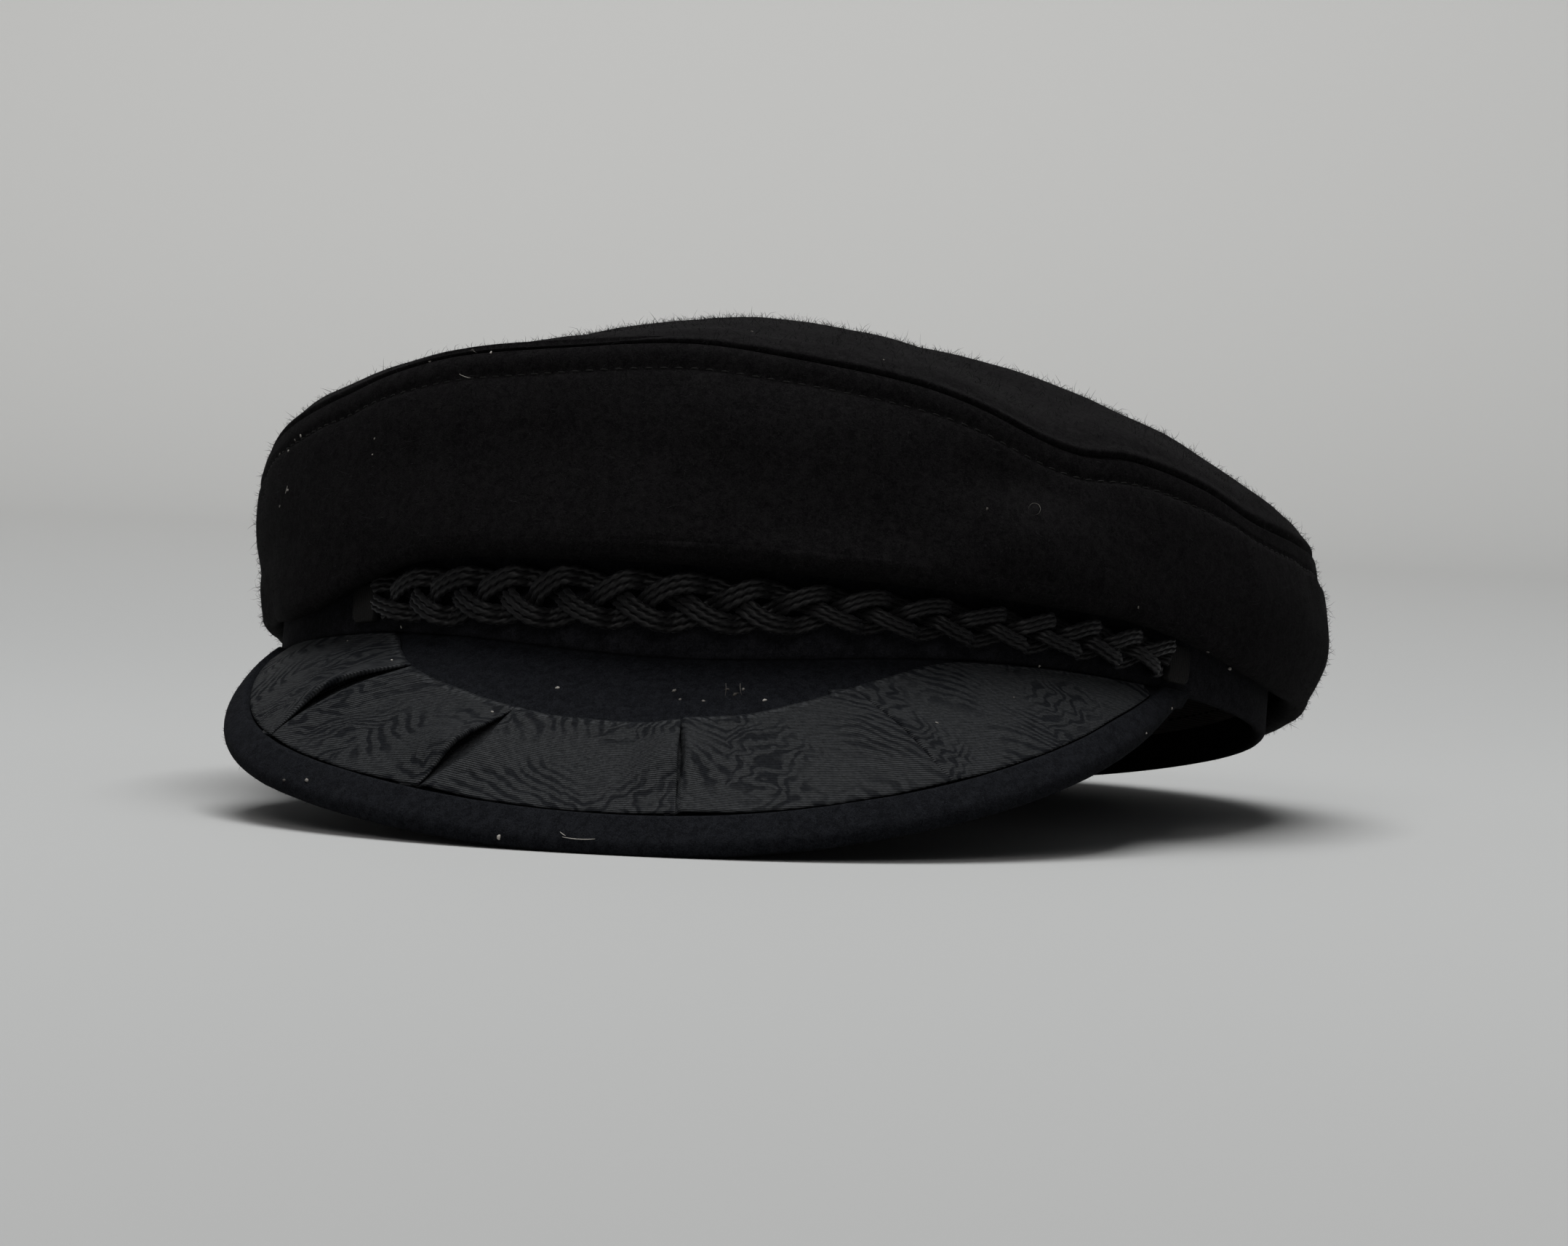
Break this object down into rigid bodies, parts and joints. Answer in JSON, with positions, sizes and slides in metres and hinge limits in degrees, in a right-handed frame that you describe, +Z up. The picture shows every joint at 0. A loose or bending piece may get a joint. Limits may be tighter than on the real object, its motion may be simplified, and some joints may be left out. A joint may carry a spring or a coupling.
{
  "type": "skipper cap",
  "caption": "Soft peaked cap with a full domed crown, a stiff headband, a plaited cord over the front and a sloping ribbon-faced peak.",
  "frame": {"origin": "middle of the cap's footprint, on the surface it rests on", "axes": "+Z up, the peak towards -Y, the wearer's left towards +X"},
  "size_m": [0.1996, 0.2574, 0.0904],
  "materials": {
    "crown_wool": "black milled wool with short loose fibres on its surface",
    "band_wool": "black milled wool",
    "sweatband_cloth": "plain black cloth, smoother than the wool",
    "peak_wool": "blue-black milled wool",
    "ribbon": "ribbed ribbon with a watered figure",
    "cord": "twisted silky cord"
  },
  "bodies": {
    "root": {"crown_tip": "crown_wool", "crown_side": "crown_wool", "headband": "band_wool", "sweatband": "sweatband_cloth", "peak_board": "peak_wool", "peak_rim": "peak_wool", "peak_ribbon": "ribbon", "braid_strand_1": "cord", "braid_strand_2": "cord", "braid_strand_3": "cord", "braid_end_right": "cord", "braid_end_left": "cord"}
  },
  "joints": []
}
